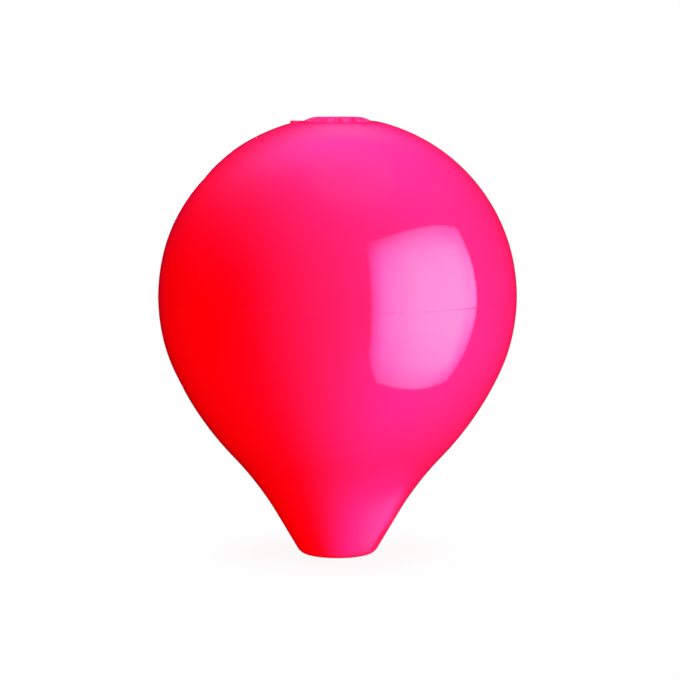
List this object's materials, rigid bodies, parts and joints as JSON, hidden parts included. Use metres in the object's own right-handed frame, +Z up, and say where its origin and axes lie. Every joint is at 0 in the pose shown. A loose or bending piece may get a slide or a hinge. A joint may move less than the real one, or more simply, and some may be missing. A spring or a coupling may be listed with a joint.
{
  "type": "inflatable mooring buoy",
  "caption": "Inflatable mooring buoy: a ball that runs down through a hollow neck to a flat foot, with a centre tube for the rod, a ribbed collar and a screw-plug valve.",
  "frame": {"origin": "on the buoy's axis, in the plane of its flat foot", "axes": "+Z up along the centre tube, towards the ribbed collar; the inflation valve lies towards -X"},
  "size_m": [0.368, 0.368, 0.4501],
  "materials": {
    "skin": "glossy flexible vinyl, red-pink",
    "collar": "glossy moulded vinyl, red-pink",
    "tube": "satin moulded vinyl, red-pink",
    "foot_ring": "satin moulded vinyl, red-pink",
    "seat": "glossy moulded vinyl, red-pink",
    "seal": "matt black rubber",
    "plug": "fine-grained black nylon"
  },
  "bodies": {
    "buoy": {"vinyl_skin": "skin", "top_collar": "collar", "centre_tube": "tube", "base_collar": "foot_ring", "valve_seat": "seat"},
    "valve_washer": {"valve_seal": "seal"},
    "valve_screw": {"valve_plug": "plug"}
  },
  "joints": [
    {"name": "plug_rise", "type": "slide", "parent": "buoy", "child": "valve_washer", "axis": [0, 0, 1], "range_m": [0, 0.016]},
    {"name": "plug_turn", "type": "hinge", "parent": "valve_washer", "child": "valve_screw", "pos_m": [-0.0415, 0, 0.4432], "axis": [0, 0, 1], "range_deg": [0, 2880]}
  ],
  "couplings": [
    {"joint": "plug_turn", "follows": "plug_rise", "rad_per_m": 3141.6}
  ]
}
